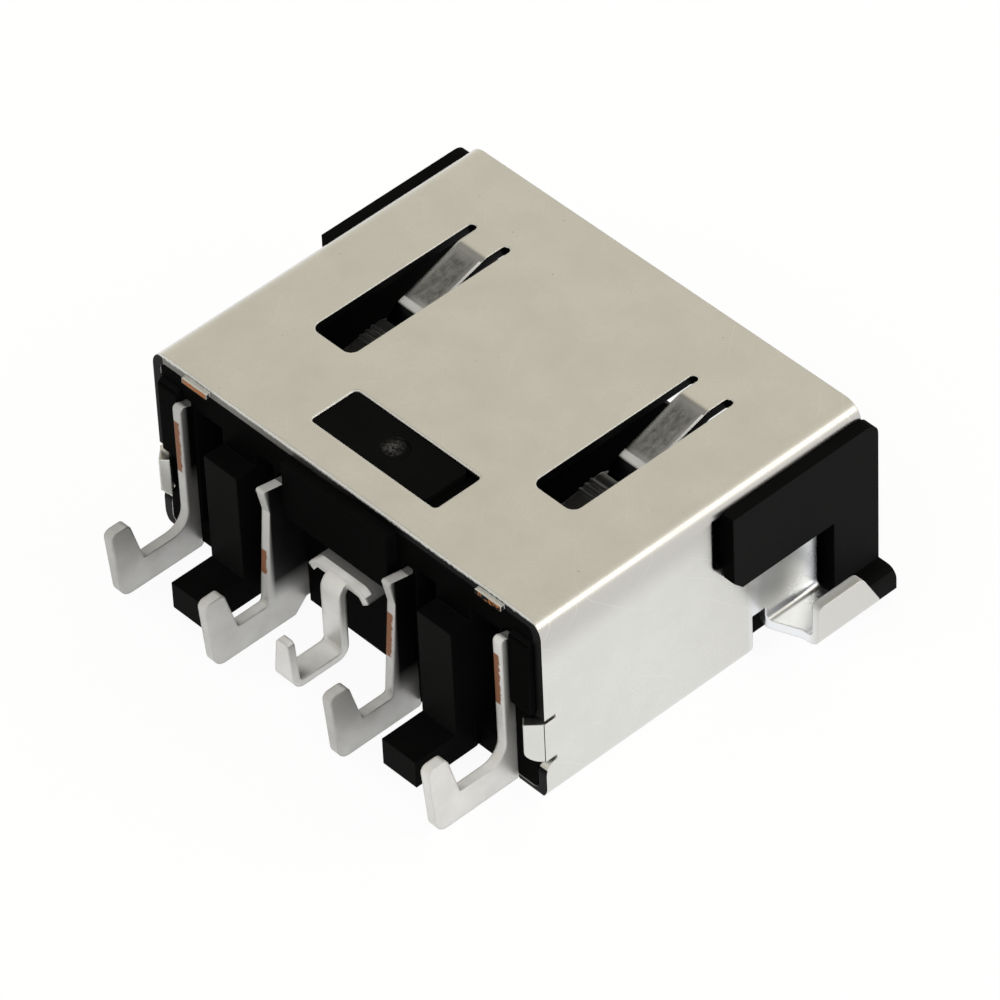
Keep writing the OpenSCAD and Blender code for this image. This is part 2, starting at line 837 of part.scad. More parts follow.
module block() {
    along_y(rear, block_front) bore_outline();
    boss_z = shell_h - boss_drop;
    difference() {
        translate([fit + (boss_w - window_w) / 2, rear + window_setback + window_d / 2, mid_z])
            linear_extrude(boss_z - mid_z) round_rect(boss_w, window_d - 2 * fit, window_r);
        translate([0, rear + window_setback + window_d / 2, boss_z - mark_depth])
            cylinder(r = mark_r, h = over);
    }
}

// A rib and its foot, on one side
module rib() {
    along_x(rib_x - rib_w / 2, rib_x + rib_w / 2)
        polygon([
            [rear + pocket_d, foot_clear + blade_in_z],
            [rear, foot_clear],
            [rear - foot_reach, foot_clear],
            [rear - foot_reach, foot_z],
            [rear - rib_reach, foot_z],
            [rear - rib_reach, rib_z],
            [rear + pocket_d, rib_z]
        ]);
}

module overhang() {
    box([-overhang_w / 2, rear - overhang_reach, overhang_z],
        [overhang_w / 2, block_front, shell_h - sheet - fit]);
}

// A pillar in one rear corner, with a rounded head and a sloping foot
module pillar() {
    pillar_x = inner_w / 2 - fit;
    head_z = shell_h - sheet - fit;
    along_x(pillar_x - pillar_w, pillar_x)
        polygon(round_outline([
            [rear + pocket_d, pillar_z, 0],
            [rear - pillar_reach, pillar_z + pillar_reach, 0],
            [rear - pillar_reach, head_z - fold_r, pillar_reach],
            [rear + fold_r, head_z - fold_r / 2, 0],
            [rear + pocket_d, head_z - fold_r / 2, 0]
        ]));
}

// Hollows between the ribs and the blades, on one side
module rear_pockets() {
    for (x = [[power_x + blade_t, rib_x - rib_w / 2],
              [rib_x + rib_w / 2, ground_x - blade_t]])
        box([x[0], rear - over, foot_z], [x[1], rear + pocket_d, pocket_z]);
    box([-over, rear - over, -over], [power_x, rear + pocket_d / 2, overhang_z]);
}

// Room at the block's rear corner for the bend of the crimp tab
module crimp_pocket() {
    box([inner_w / 2 - crimp_bend_r, rear - over, crimp_z - fit],
        [wall, rear + sheet / 2 + fit, crimp_z + crimp_h + fit]);
}

module cheek() {
    along_y(block_front - fit, mouth)
        intersection() {
            bore_outline();
            translate([cheek_x, 0]) square([cheek_t, shell_h]);
        }
}

// Side plate outside the wall, the neck that carries it through the notch, and the front post
module ear() {
    ear_y = notch_y + ear_gap;
    ear_top = notch_top + ear_rise;
    neck_top = notch_top - fit;
    post_y = post_front - post_d;
    along_x(wall + fit, ear_face)
        polygon(round_outline([
            [ear_y, ear_top, 0],
            [post_front, ear_top, post_r],
            [post_front, 0, 0],
            [post_y, 0, 0],
            [post_y, ear_z, 0],
            [ear_y + ear_chamfer, ear_z, 0],
            [ear_y, ear_z + ear_chamfer, 0]
        ]));
    box([cheek_x, ear_y, notch_z + fit], [wall + 2 * fit, mouth, neck_top]);
    along_x(cheek_x, wall + 2 * fit)
        polygon(round_outline([
            [post_y, 0, 0],
            [post_front, 0, 0],
            [post_front, neck_top, post_r],
            [post_y, neck_top, 0]
        ]));
    knob();
}

// Round-topped knob at the post's foot
module knob() {
    knob_r = (knob_z - knob_clear) / 2;
    along_y(post_front - knob_d, post_front) {
        translate([ear_face - fit, knob_clear])
            square([knob_out - knob_r + fit, knob_z - knob_clear]);
        translate([ear_face + knob_out - knob_r, knob_z - knob_r]) circle(knob_r);
        translate([ear_face + knob_out - 2 * knob_r, knob_clear]) square([2 * knob_r, knob_r]);
    }
}

module tongue() {
    lead = tongue_chamfer;
    intersection() {
        along_x(-tongue_w / 2, tongue_w / 2)
            translate([0, mid_z])
                polygon([
                    [block_front - fit, -tongue_h / 2],
                    [tongue_end - lead, -tongue_h / 2],
                    [tongue_end, lead - tongue_h / 2],
                    [tongue_end, tongue_h / 2 - lead],
                    [tongue_end - lead, tongue_h / 2],
                    [block_front - fit, tongue_h / 2]
                ]);
        linear_extrude(shell_h)
            polygon([
                [-tongue_w / 2, block_front - fit],
                [tongue_w / 2, block_front - fit],
                [tongue_w / 2, tongue_end - lead],
                [tongue_w / 2 - lead, tongue_end],
                [lead - tongue_w / 2, tongue_end],
                [-tongue_w / 2, tongue_end - lead]
            ]);
    }
}

// Slots that the power and ground terminals sit in, on one side
module blade_slots() {
    half = blade_t / 2 + slot_fit;
    for (x = [power_x, ground_x])
        box([x - half, rear - over, -over], [x + half, blade_front + slot_fit, mid_z]);
    box([power_x - half, rear - over, 0],
        [power_x + half, rear + blade_t + 2 * slot_fit, power_z + power_rise + slot_fit]);
    box([power_x - half, rear, 0], [power_x + half, blade_front + slot_fit, leaf_top + slot_fit]);
    box([ground_x - half, rear - over, 0],
        [ground_x + half, blade_front + slot_fit, ground_z + head_rise + slot_fit]);
    box([power_x - half, blade_front - 3 * blade_t - slot_fit, leaf_z - slot_fit],
        [leaf_x + leaf_w + slot_fit, blade_front + slot_fit, leaf_top + slot_fit]);
    box([leaf_x - slot_fit, rear + block_d / 2, leaf_z - slot_fit],
        [leaf_x + leaf_w + slot_fit, block_front + over, leaf_top + slot_fit]);
}

// Room for a contact beam through the block and along its cheek
module beam_slot() {
    low = beam_z - beam_h / 2 - slot_fit;
    high = beam_z + beam_h / 2 + slot_fit;
    beam_end = block_front + beam_run + 2 * contact_run + 2 * beam_bend_r;
    box([ground_x - blade_t, blade_front - blade_t - slot_fit, low],
        [wall - sheet, block_front, high]);
    box([cheek_x - over, block_front - fit, low], [wall - sheet, beam_end, high]);
}

// Slot for the sense terminal's shoulders and the socket for the plug's pin
module sense_cut() {
    half = shoulder_w / 2 + slot_fit;
    end_w = 1.5 * sense_t + shoulder_run + slot_fit;
    drop = shoulder_run * sin(shoulder_turn) + sense_t;
    low = sense_z - sense_t - slot_fit;
    box([-half, rear - over, low], [half, blade_front + slot_fit, sense_z + slot_fit]);
    both_sides()
        box([half - end_w, rear - over, low - drop], [half, blade_front + slot_fit, sense_z]);
    along_y(blade_front, tongue_end + over)
        translate([0, mid_z]) round_rect(socket_w, socket_h, socket_r);
}

module housing() {
    color("#1d1e20")
        difference() {
            union() {
                difference() {
                    block();
                    both_sides() {
                        rear_pockets();
                        crimp_pocket();
                    }
                }
                overhang();
                tongue();
                both_sides() {
                    rib();
                    pillar();
                    cheek();
                    ear();
                }
            }
            both_sides() {
                blade_slots();
                beam_slot();
            }
            sense_cut();
        }
}

module ground_terminal_left() {
    color("#d9d9d6") mirror([1, 0, 0]) ground_terminal();
}

module ground_terminal_right() {
    color("#d9d9d6") ground_terminal();
}

module power_terminal_left() {
    color("#d9d9d6") mirror([1, 0, 0]) power_terminal();
}

module power_terminal_right() {
    color("#d9d9d6") power_terminal();
}

shell();
housing();
ground_terminal_left();
ground_terminal_right();
power_terminal_left();
power_terminal_right();
sense_terminal();
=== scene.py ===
import math

import bpy
from mathutils import Matrix, Vector


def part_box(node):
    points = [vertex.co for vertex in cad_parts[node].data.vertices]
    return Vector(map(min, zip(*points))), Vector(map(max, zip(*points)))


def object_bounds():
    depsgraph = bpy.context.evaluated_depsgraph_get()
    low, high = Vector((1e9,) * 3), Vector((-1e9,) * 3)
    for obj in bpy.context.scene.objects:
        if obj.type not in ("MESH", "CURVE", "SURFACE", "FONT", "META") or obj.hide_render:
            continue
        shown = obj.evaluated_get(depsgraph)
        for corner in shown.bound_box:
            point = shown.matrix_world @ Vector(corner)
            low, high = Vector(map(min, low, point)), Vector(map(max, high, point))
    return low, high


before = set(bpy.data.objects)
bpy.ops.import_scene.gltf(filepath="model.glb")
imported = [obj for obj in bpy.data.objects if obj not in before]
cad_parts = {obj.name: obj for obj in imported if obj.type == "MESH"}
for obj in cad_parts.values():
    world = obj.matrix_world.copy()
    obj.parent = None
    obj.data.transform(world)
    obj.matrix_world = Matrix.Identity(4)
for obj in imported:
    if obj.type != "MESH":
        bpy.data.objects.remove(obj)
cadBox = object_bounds()
print("frame loaded:", ", ".join(sorted(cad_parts)))

mm = 0.001
scene = bpy.context.scene
scene.view_settings.view_transform = "Standard"
lowCorner, highCorner = (Vector(corner) for corner in cadBox)
# The mouth's distance from the middle; the shell's rear edge lies as far the other way
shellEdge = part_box("shell")[1][1] / mm
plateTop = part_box("shell")[1][2] / mm


def feed(tree, socket, value):
    if isinstance(value, bpy.types.NodeSocket):
        tree.links.new(value, socket)
    else:
        socket.default_value = value


def put(tree, kind, sockets=None, **settings):
    made = tree.nodes.new(kind)
    for key, value in settings.items():
        setattr(made, key, value)
    for key, value in (sockets or {}).items():
        feed(tree, made.inputs[key], value)
    return made


def maths(tree, operation, first, second=0.0, clamp=False):
    sockets = {0: first, 1: second}
    return put(tree, "ShaderNodeMath", sockets, operation=operation, use_clamp=clamp).outputs[0]


def product(tree, first, *others):
    for other in others:
        first = maths(tree, "MULTIPLY", first, other)
    return first


def total(tree, first, *others):
    for other in others:
        first = maths(tree, "ADD", first, other)
    return first


def largest(tree, first, *others):
    for other in others:
        first = maths(tree, "MAXIMUM", first, other)
    return first


def minus(tree, first, second):
    return maths(tree, "SUBTRACT", first, second)


def absolute(tree, value):
    return maths(tree, "ABSOLUTE", value)


def under(tree, value, limit):
    return maths(tree, "LESS_THAN", value, limit)


def over(tree, value, limit):
    return maths(tree, "GREATER_THAN", value, limit)


def vectors(tree, operation, first, second=None):
    sockets = {0: first} if second is None else {0: first, 1: second}
    return put(tree, "ShaderNodeVectorMath", sockets, operation=operation).outputs


def split(tree, vector):
    return put(tree, "ShaderNodeSeparateXYZ", {0: vector}).outputs


def join(tree, x=0.0, y=0.0, z=0.0):
    return put(tree, "ShaderNodeCombineXYZ", {0: x, 1: y, 2: z}).outputs[0]


def sharpNormal(tree):
    return put(tree, "ShaderNodeNewGeometry").outputs["Normal"]


def mixed(tree, factor, first, second, **settings):
    made = put(tree, "ShaderNodeMix", data_type="RGBA", **settings)
    for index, value in ((0, factor), (6, first), (7, second)):
        feed(tree, made.inputs[index], value)
    return made.outputs[2]


def toned(tree, colour, tone):
    return mixed(tree, 1.0, colour, (tone, tone, tone, 1.0), blend_type="MULTIPLY")


def spread(tree, value, fromLow, fromHigh, toLow=0.0, toHigh=1.0, style="LINEAR"):
    sockets = {
        "Value": value,
        "From Min": fromLow,
        "From Max": fromHigh,
        "To Min": toLow,
        "To Max": toHigh,
    }
    return put(tree, "ShaderNodeMapRange", sockets, interpolation_type=style).outputs["Result"]


noiseRange = (0.3, 0.7)  # where most of a noise's values lie


def swing(tree, value, low, high):
    return spread(tree, value, *noiseRange, low, high)


def noise(tree, where, scale, detail, **sockets):
    sockets = {"Vector": where, "Scale": scale, "Detail": detail, **sockets}
    return put(tree, "ShaderNodeTexNoise", sockets).outputs["Fac"]


def newGroup(name, inputs, outputs):
    group = bpy.data.node_groups.new(name, "ShaderNodeTree")
    for label, kind, value in inputs:
        socket = group.interface.new_socket(
            label, in_out="INPUT", socket_type="NodeSocket" + kind
        )
        if value is not None:
            socket.default_value = value
    for label, kind in outputs:
        group.interface.new_socket(label, in_out="OUTPUT", socket_type="NodeSocket" + kind)
    entry = group.nodes.new("NodeGroupInput").outputs
    return group, entry, group.nodes.new("NodeGroupOutput").inputs


def place(tree, group, sockets=None):
    made = tree.nodes.new("ShaderNodeGroup")
    made.node_tree = group
    for key, value in (sockets or {}).items():
        feed(tree, made.inputs[key], value)
    return made.outputs


# Effects that several finishes share; lengths inside them are millimetres
def makeRuler():
    outputs = [("Place", "Vector"), ("Mirrored", "Vector")]
    group, _, exits = newGroup("ruler", [], outputs)
    own = put(group, "ShaderNodeTexCoord").outputs["Object"]
    sockets = {0: own, "Scale": 1.0 / mm}
    scaled = put(group, "ShaderNodeVectorMath", sockets, operation="SCALE").outputs[0]
    parts = split(group, scaled)
    group.links.new(scaled, exits["Place"])
    group.links.new(join(group, absolute(group, parts[0]), parts[1], parts[2]), exits["Mirrored"])
    return group


grainLook = {
    "cloudDetail": 4.0,
    "grainDetail": 2.0,
    "roughness": 0.6,
    "speckSpacing": 0.28,
    "speckRadius": (0.05, 0.16),
    "speckCore": 0.4,
}


def makeGrain():
    inputs = [
        ("Place", "Vector", None),
        ("Cloud Scale", "Float", 1.0),
        ("Grain Scale", "Float", 9.0),
        ("Speck Share", "Float", 0.2),
    ]
    outputs = [("Cloud", "Float"), ("Grain", "Float"), ("Specks", "Float")]
    group, entry, exits = newGroup("grain", inputs, outputs)
    rough = {"Roughness": grainLook["roughness"]}
    cloud = noise(group, entry["Place"], entry["Cloud Scale"], grainLook["cloudDetail"], **rough)
    fine = noise(group, entry["Place"], entry["Grain Scale"], grainLook["grainDetail"], **rough)
    spacing = product(group, entry["Grain Scale"], grainLook["speckSpacing"])
    sockets = {"Vector": entry["Place"], "Scale": spacing}
    cells = put(group, "ShaderNodeTexVoronoi", sockets).outputs
    reach = maths(group, "DIVIDE", cells["Distance"], swing(group, fine, *grainLook["speckRadius"]))
    dot = spread(group, reach, 1.0, grainLook["speckCore"], style="SMOOTHSTEP")
    chance = put(group, "ShaderNodeSeparateColor", {"Color": cells["Color"]}).outputs["Red"]
    chosen = under(group, chance, entry["Speck Share"])
    group.links.new(cloud, exits["Cloud"])
    group.links.new(fine, exits["Grain"])
    group.links.new(product(group, dot, chosen), exits["Specks"])
    return group


bevelSamples = 6


# Rounded edges: a softened normal, and a mask of the edges, which the finishes paint lighter as
# painted highlight
def makeEdgeHighlight():
    inputs = [("Radius", "Float", 0.03 * mm), ("Gain", "Float", 4.0)]
    group, entry, exits = newGroup("edgeHighlight", inputs, [("Mask", "Float"), ("Normal", "Vector")])
    sockets = {"Radius": entry["Radius"]}
    soft = put(group, "ShaderNodeBevel", sockets, samples=bevelSamples).outputs["Normal"]
    agree = vectors(group, "DOT_PRODUCT", soft, sharpNormal(group))["Value"]
    mask = maths(group, "MULTIPLY", minus(group, 1.0, agree), entry["Gain"], clamp=True)
    group.links.new(mask, exits["Mask"])
    group.links.new(soft, exits["Normal"])
    return group


scratchLook = {
    "lanesPerMm": 2.6,
    "driftScale": 0.35,
    "heightShare": 0.8,
    "lengthScale": 0.7,
    "laneStep": 7.31,
    "fade": 0.08,
}


def makeScratches():
    inputs = [
        ("Place", "Vector", None),
        ("Turn", "Float", 0.5),
        ("Width", "Float", 0.02),
        ("Share", "Float", 0.5),
    ]
    group, entry, exits = newGroup("scratches", inputs, [("Lines", "Float")])
    lanes = scratchLook["lanesPerMm"]
    sockets = {"Vector": entry["Place"], "Angle": entry["Turn"]}
    turned = put(group, "ShaderNodeVectorRotate", sockets, rotation_type="Z_AXIS").outputs[0]
    drift = noise(group, turned, scratchLook["driftScale"], 1.0)
    parts = split(group, turned)
    across = total(group, parts[1], product(group, parts[2], scratchLook["heightShare"]), drift)
    lane = maths(group, "FLOOR", product(group, across, lanes))
    inLane = maths(group, "FRACT", product(group, across, lanes))
    stretched = join(
        group,
        product(group, parts[0], scratchLook["lengthScale"]),
        product(group, lane, scratchLook["laneStep"]),
    )
    length = noise(group, stretched, 1.0, 0.0)
    low = minus(group, 1.0, entry["Share"])
    shown = spread(group, length, low, minus(group, 1.0 + scratchLook["fade"], entry["Share"]))
    middle = absolute(group, minus(group, inLane, 0.5))
    line = spread(group, middle, product(group, entry["Width"], lanes), 0.0)
    group.links.new(product(group, line, shown), exits["Lines"])
    return group


def makeZone():
    inputs = [
        ("Place", "Vector", None),
        ("Low", "Vector", (0, 0, 0)),
        ("High", "Vector", (0, 0, 0)),
        ("Soft", "Float", 0.05),
    ]
    group, entry, exits = newGroup("zone", inputs, [("Mask", "Float")])
    fromLow = vectors(group, "SUBTRACT", entry["Place"], entry["Low"])[0]
    toHigh = vectors(group, "SUBTRACT", entry["High"], entry["Place"])[0]
    parts = split(group, vectors(group, "MINIMUM", fromLow, toHigh)[0])
    least = maths(group, "MINIMUM", maths(group, "MINIMUM", parts[0], parts[1]), parts[2])
    group.links.new(maths(group, "DIVIDE", least, entry["Soft"], clamp=True), exits["Mask"])
    return group


def makeFacing():
    inputs = [("Way", "Vector", (0, 0, 1)), ("From", "Float", 0.8)]
    group, entry, exits = newGroup("facing", inputs, [("Mask", "Float")])
    agree = vectors(group, "DOT_PRODUCT", sharpNormal(group), entry["Way"])["Value"]
    group.links.new(over(group, agree, entry["From"]), exits["Mask"])
    return group


ruler = makeRuler()
grain = makeGrain()
edgeHighlight = makeEdgeHighlight()
scratches = makeScratches()
zone = makeZone()
facing = makeFacing()
print("shared effects made")

rightward, leftward, rearward, upward = (1, 0, 0), (-1, 0, 0), (0, -1, 0), (0, 0, 1)


def newFinish(name):
    finish = bpy.data.materials.new(name)
    finish.use_nodes = True
    tree = finish.node_tree
    return finish, tree, tree.nodes["Principled BSDF"]


def dress(nodeNames, finish):
    for name in nodeNames:
        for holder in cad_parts[name].material_slots:
            holder.material = finish


def within(tree, where, low, high, soft):
    sockets = {"Place": where, "Low": low, "High": high, "Soft": soft}
    return place(tree, zone, sockets)["Mask"]


def faces(tree, way, least):
    return place(tree, facing, {"Way": way, "From": least})["Mask"]


def bumped(tree, shader, strength, depth, height, normal):
    sockets = {"Strength": strength, "Distance": depth, "Height": height, "Normal": normal}
    tree.links.new(put(tree, "ShaderNodeBump", sockets).outputs[0], shader.inputs["Normal"])


plate = {
    "colour": (0.735, 0.735, 0.705, 1.0),
    "dull": (0.645, 0.64, 0.605, 1.0),
    "speck": (0.42, 0.39, 0.35, 1.0),
    # lighter colour: real on the scratches, painted highlight on the edges
    "bright": (0.87, 0.865, 0.84, 1.0),
    # painted highlight on the springs' glints
    "glintColour": (0.96, 0.955, 0.94, 1.0),
    # darker colour along the springs' real brushed strokes, partly painted shade
    "brushedShade": (0.25, 0.24, 0.22, 1.0),
    "shade": (0.58, 0.565, 0.535, 1.0),
    # painted light: the hook region is painted paler and bluer
    "hook": (0.88, 0.895, 0.915, 1.0),
    "cutPale": (0.22, 0.215, 0.20, 1.0),
    # black painted shade, on cut faces and under the spring lips
    "paintedShade": (0.008, 0.008, 0.008, 1.0),
    "copper": (0.42, 0.17, 0.06, 1.0),
    "grain": {"Cloud Scale": 0.9, "Grain Scale": 13.0, "Speck Share": 0.1},
    "scratches": (
        {"Turn": 0.9, "Width": 0.012, "Share": 0.4},
        {"Turn": 2.2, "Width": 0.01, "Share": 0.36},
    ),
    # how much of each mark shows in the colour
    "dullByCloud": (0.35, 0.7, 0.0, 0.35),
    "dullByGrain": (0.35, 0.75, 0.0, 0.22),
    "speckShare": 0.5,
    "lineShare": 0.35,
    "edgeShare": 0.6,
    "stubShare": 0.8,
    "brushedShare": (0.35, 0.65, 0.3, 0.9),
    "roughness": 0.28,
    "smoother": 0.03,
    "rougher": 0.05,
    "speckRoughness": 0.15,
    "cutRoughness": 0.3,
    "mattShare": 0.75,
    "edgeRadius": 0.05 * mm,
    "springRadius": 0.09 * mm,
    "edgeGain": 4.0,
    # heights in the relief
    "bump": 0.2,
    "bumpDepth": 0.004 * mm,
    "grainHeight": 0.35,
    "lineDepth": 0.4,
    "speckDepth": 0.3,
    "strokeHeight": 1.5,
    "creaseHeight": -6.0,
    # sheared faces, and the painted shade on their cut faces
    "sheet": 0.25,
    "rearFrom": 0.9,
    "rearDepth": 0.05,
    "rimBetween": (0.05, 0.1),
    "rimRagged": 0.02,
    "uprightFrom": 0.5,
    "slotsLow": (-1.0, 0.1, -0.02),
    "slotsHigh": (5.2, -0.1, -0.01),
    "slotSoft": 0.02,
    "cutShadeAcross": (-3.0, 0.5),
    "cutShadeFrom": 5.8,
    # walls, hooks and window
    "wallFace": 6.0,
    "wallShade": (3.9, 4.8),
    "wallShadeFrom": -1.5,
    "wallShadeMost": 0.65,
    "hookLow": (5.8, 1.25, -1.0),
    "hookHigh": (7.42, 6.0, 3.6),
    "hookSoft": 0.3,
    "tipFrom": 7.0,
    "tipLean": 0.4,
    "windowHalf": 2.4,
    "rim": 0.08,
    # springs
    "springMiddle": 3.5,
    "springRoot": 2.2,
    "springEnd": 0.72,
    "springNear": 0.5,
    "springCentre": 1.4,
    "springReach": 1.5,
    "brushedHalf": 0.34,
    "brushedFrom": 3.0,
    "brushedUnder": 0.03,
    "brushedSoft": 0.1,
    "strokeScale": (11.0, 5.0, 5.0),
    "strokeDetail": 4.0,
    "strokeRoughness": 0.75,
    "glintFrom": 0.36,
    "glintLean": 0.5,
    "glintUnder": 0.02,
    "lipBetween": (0.05, 0.09),
    "lipEnd": 0.47,
    "lipSoft": 0.03,
    "lipUnder": 0.3,
    # stubs left by the carrier strip
    "stubMiddle": 4.65,
    "stubHalf": 0.40,
    "stubReach": 0.4,
    "stubDepth": 0.5,
    "stubInset": 0.01,
    "stubSoft": 0.05,
    "copperTilt": (-2.0, 2.0, 0.1, 0.0),
    "copperBetween": (0.48, 0.56),
    # crease in each wall, by distance toward the mouth and height
    "creaseFrom": (0.88, 2.87),
    "creaseTo": (1.52, 1.42),
    "creaseBetween": (-0.12, 0.3),
}


def creaseHeight(tree, parts):
    fromY, fromZ = plate["creaseFrom"]
    toY, toZ = plate["creaseTo"]
    run = math.hypot(toY - fromY, toZ - fromZ)
    # signed distance from the crease, measured square to it in the wall
    reach = total(
        tree,
        product(tree, minus(tree, parts[1], fromY), (fromZ - toZ) / run),
        product(tree, minus(tree, parts[2], fromZ), (toY - fromY) / run),
    )
    return spread(tree, reach, *plate["creaseBetween"], style="SMOOTHERSTEP")


def springZone(tree, parts, aside):
    besideIt = under(tree, absolute(tree, aside), plate["springNear"])
    along = absolute(tree, minus(tree, parts[1], plate["springCentre"]))
    return product(tree, besideIt, under(tree, along, plate["springReach"]))


def slotEdges(tree, spot, parts, lean, nearSpring):
    upright = under(tree, absolute(tree, lean), plate["uprightFrom"])
    x, y, z = plate["slotsLow"]
    low = (x, y - shellEdge, plateTop - plate["sheet"] + z)
    x, y, z = plate["slotsHigh"]
    high = (x, shellEdge + y, plateTop + z)
    inSlots = within(tree, spot["Mirrored"], low, high, plate["slotSoft"])
    windowRim = product(
        tree,
        under(tree, parts[0], plate["windowHalf"]),
        over(tree, parts[2], plateTop - plate["rim"]),
    )
    edges = product(tree, upright, largest(tree, inSlots, nearSpring))
    return product(tree, edges, minus(tree, 1.0, windowRim))


def springGlint(tree, parts, aside, lean, nearSpring):
    low, high = plate["lipBetween"]
    end, soft = plate["lipEnd"], plate["lipSoft"]
    rightEdge = product(
        tree,
        over(tree, aside, plate["glintFrom"]),
        under(tree, parts[1], plate["springRoot"]),
    )
    lip = spread(tree, parts[1], plate["springEnd"] - low, plate["springEnd"] - high)
    return product(
        tree,
        largest(tree, rightEdge, lip),
        nearSpring,
        over(tree, lean, plate["glintLean"]),
        under(tree, parts[2], plateTop - plate["glintUnder"]),
        spread(tree, parts[1], end - soft, end + soft),
    )


def plateFinish():
    finish, tree, shader = newFinish("stampedPlate")
    spot = place(tree, ruler)
    parts = split(tree, spot["Mirrored"])
    level = split(tree, spot["Place"])[0]
    lean = split(tree, sharpNormal(tree))[2]
    look = place(tree, grain, {"Place": spot["Place"], **plate["grain"]})
    drawn = [
        place(tree, scratches, {"Place": spot["Place"], **row})["Lines"]
        for row in plate["scratches"]
    ]
    lines = largest(tree, *drawn)

    # distance to the right of the nearer spring's middle line
    middle = product(tree, maths(tree, "SIGN", level), plate["springMiddle"])
    aside = minus(tree, level, middle)
    nearSpring = springZone(tree, parts, aside)
    # near the springs and the window the edges are rounded wider, which widens their painted
    # highlight
    nearWindow = product(
        tree, under(tree, parts[0], plate["windowHalf"]), under(tree, parts[1], 0.0)
    )
    wide = largest(tree, nearSpring, nearWindow)
    radius = spread(tree, wide, 0.0, 1.0, plate["edgeRadius"], plate["springRadius"])
    edge = place(tree, edgeHighlight, {"Radius": radius, "Gain": plate["edgeGain"]})

    half = plate["brushedHalf"]
    low = (plate["springMiddle"] - half, plate["springEnd"], plate["brushedFrom"])
    high = (
        plate["springMiddle"] + half,
        plate["springRoot"],
        plateTop - plate["brushedUnder"],
    )
    spring = within(tree, spot["Mirrored"], low, high, plate["brushedSoft"])
    sockets = {"Vector": spot["Place"], "Scale": plate["strokeScale"]}
    drawnOut = put(tree, "ShaderNodeMapping", sockets).outputs[0]
    strokes = noise(
        tree, drawnOut, 1.0, plate["strokeDetail"], Roughness=plate["strokeRoughness"]
    )

    rearFace = faces(tree, rearward, plate["rearFrom"])
    behind = over(tree, product(tree, parts[1], -1.0), shellEdge - plate["rearDepth"])
    rearEdge = product(tree, rearFace, behind)
    ragged = plate["rimRagged"]
    rimHeight = total(tree, parts[2], swing(tree, look["Grain"], -ragged, ragged))
    low, high = plate["rimBetween"]
    cut = product(tree, rearEdge, spread(tree, rimHeight, plateTop - low, plateTop - high))
    slotCut = slotEdges(tree, spot, parts, lean, nearSpring)
    # the rear cut faces go from the pale cut colour to painted shade toward the right, and on the
    # walls
    cutShading = largest(
        tree,
        spread(tree, level, *plate["cutShadeAcross"]),
        over(tree, parts[0], plate["cutShadeFrom"]),
    )
    cutColourAndShade = mixed(tree, cutShading, plate["cutPale"], plate["paintedShade"])

    onWall = over(tree, parts[0], plate["wallFace"])
    wallShade = largest(
        tree,
        spread(tree, parts[2], *plate["wallShade"], style="SMOOTHSTEP"),
        spread(tree, parts[1], plate["wallShadeFrom"], shellEdge, 0.0, plate["wallShadeMost"]),
    )
    wallShade = product(tree, wallShade, onWall)
    # where the painted light on the hooks lies
    hook = within(
        tree, spot["Mirrored"], plate["hookLow"], plate["hookHigh"], plate["hookSoft"]
    )
    tipTop = product(
        tree, over(tree, parts[0], plate["tipFrom"]), over(tree, lean, plate["tipLean"])
    )

    middle, half, inset = plate["stubMiddle"], plate["stubHalf"], plate["stubInset"]
    low = (middle - half, -shellEdge - plate["stubReach"], plateTop - plate["stubDepth"])
    high = (middle + half, -shellEdge - inset, plateTop - inset)
    stub = within(tree, spot["Mirrored"], low, high, plate["stubSoft"])
    stub = product(tree, stub, rearFace)
    patchy = total(tree, look["Grain"], spread(tree, level, *plate["copperTilt"]))
    copper = product(tree, stub, spread(tree, patchy, *plate["copperBetween"]))

    glint = springGlint(tree, parts, aside, lean, nearSpring)
    # painted shade: the end of each spring's lip is painted black
    end, soft = plate["lipEnd"], plate["lipSoft"]
    lipEnd = product(
        tree,
        spread(tree, parts[1], end + soft, end - soft),
        nearSpring,
        under(tree, parts[2], plateTop - plate["lipUnder"]),
    )

    # the spring tops are painted darker along real brushed strokes, partly as painted shade
    brushedShading = product(tree, spring, spread(tree, strokes, *plate["brushedShare"]))
    layers = (
        (spread(tree, look["Grain"], *plate["dullByGrain"]), plate["dull"]),
        (wallShade, plate["shade"]),
        (hook, plate["hook"]),
        (product(tree, look["Specks"], plate["speckShare"]), plate["speck"]),
        (product(tree, lines, plate["lineShare"]), plate["bright"]),
        (brushedShading, plate["brushedShade"]),
        # painted highlight: the rounded edges are painted lighter
        (product(tree, edge["Mask"], plate["edgeShare"]), plate["bright"]),
        (lipEnd, plate["paintedShade"]),
        (glint, plate["glintColour"]),
        (largest(tree, cut, product(tree, stub, plate["stubShare"])), cutColourAndShade),
        # painted shade: the slots' cut faces are painted black, all but a thin band at the top near
        # the middle
        (slotCut, plate["paintedShade"]),
        (copper, plate["copper"]),
    )
    cloudy = spread(tree, look["Cloud"], *plate["dullByCloud"])
    body = mixed(tree, cloudy, plate["colour"], plate["dull"])
    for mask, colour in layers:
        body = mixed(tree, mask, body, colour)
    tree.links.new(body, shader.inputs["Base Color"])

    usual = plate["roughness"]
    rough = total(
        tree,
        swing(tree, look["Cloud"], usual - plate["smoother"], usual + plate["rougher"]),
        product(tree, look["Specks"], plate["speckRoughness"]),
        product(tree, largest(tree, rearEdge, slotCut), plate["cutRoughness"]),
    )
    tree.links.new(rough, shader.inputs["Roughness"])

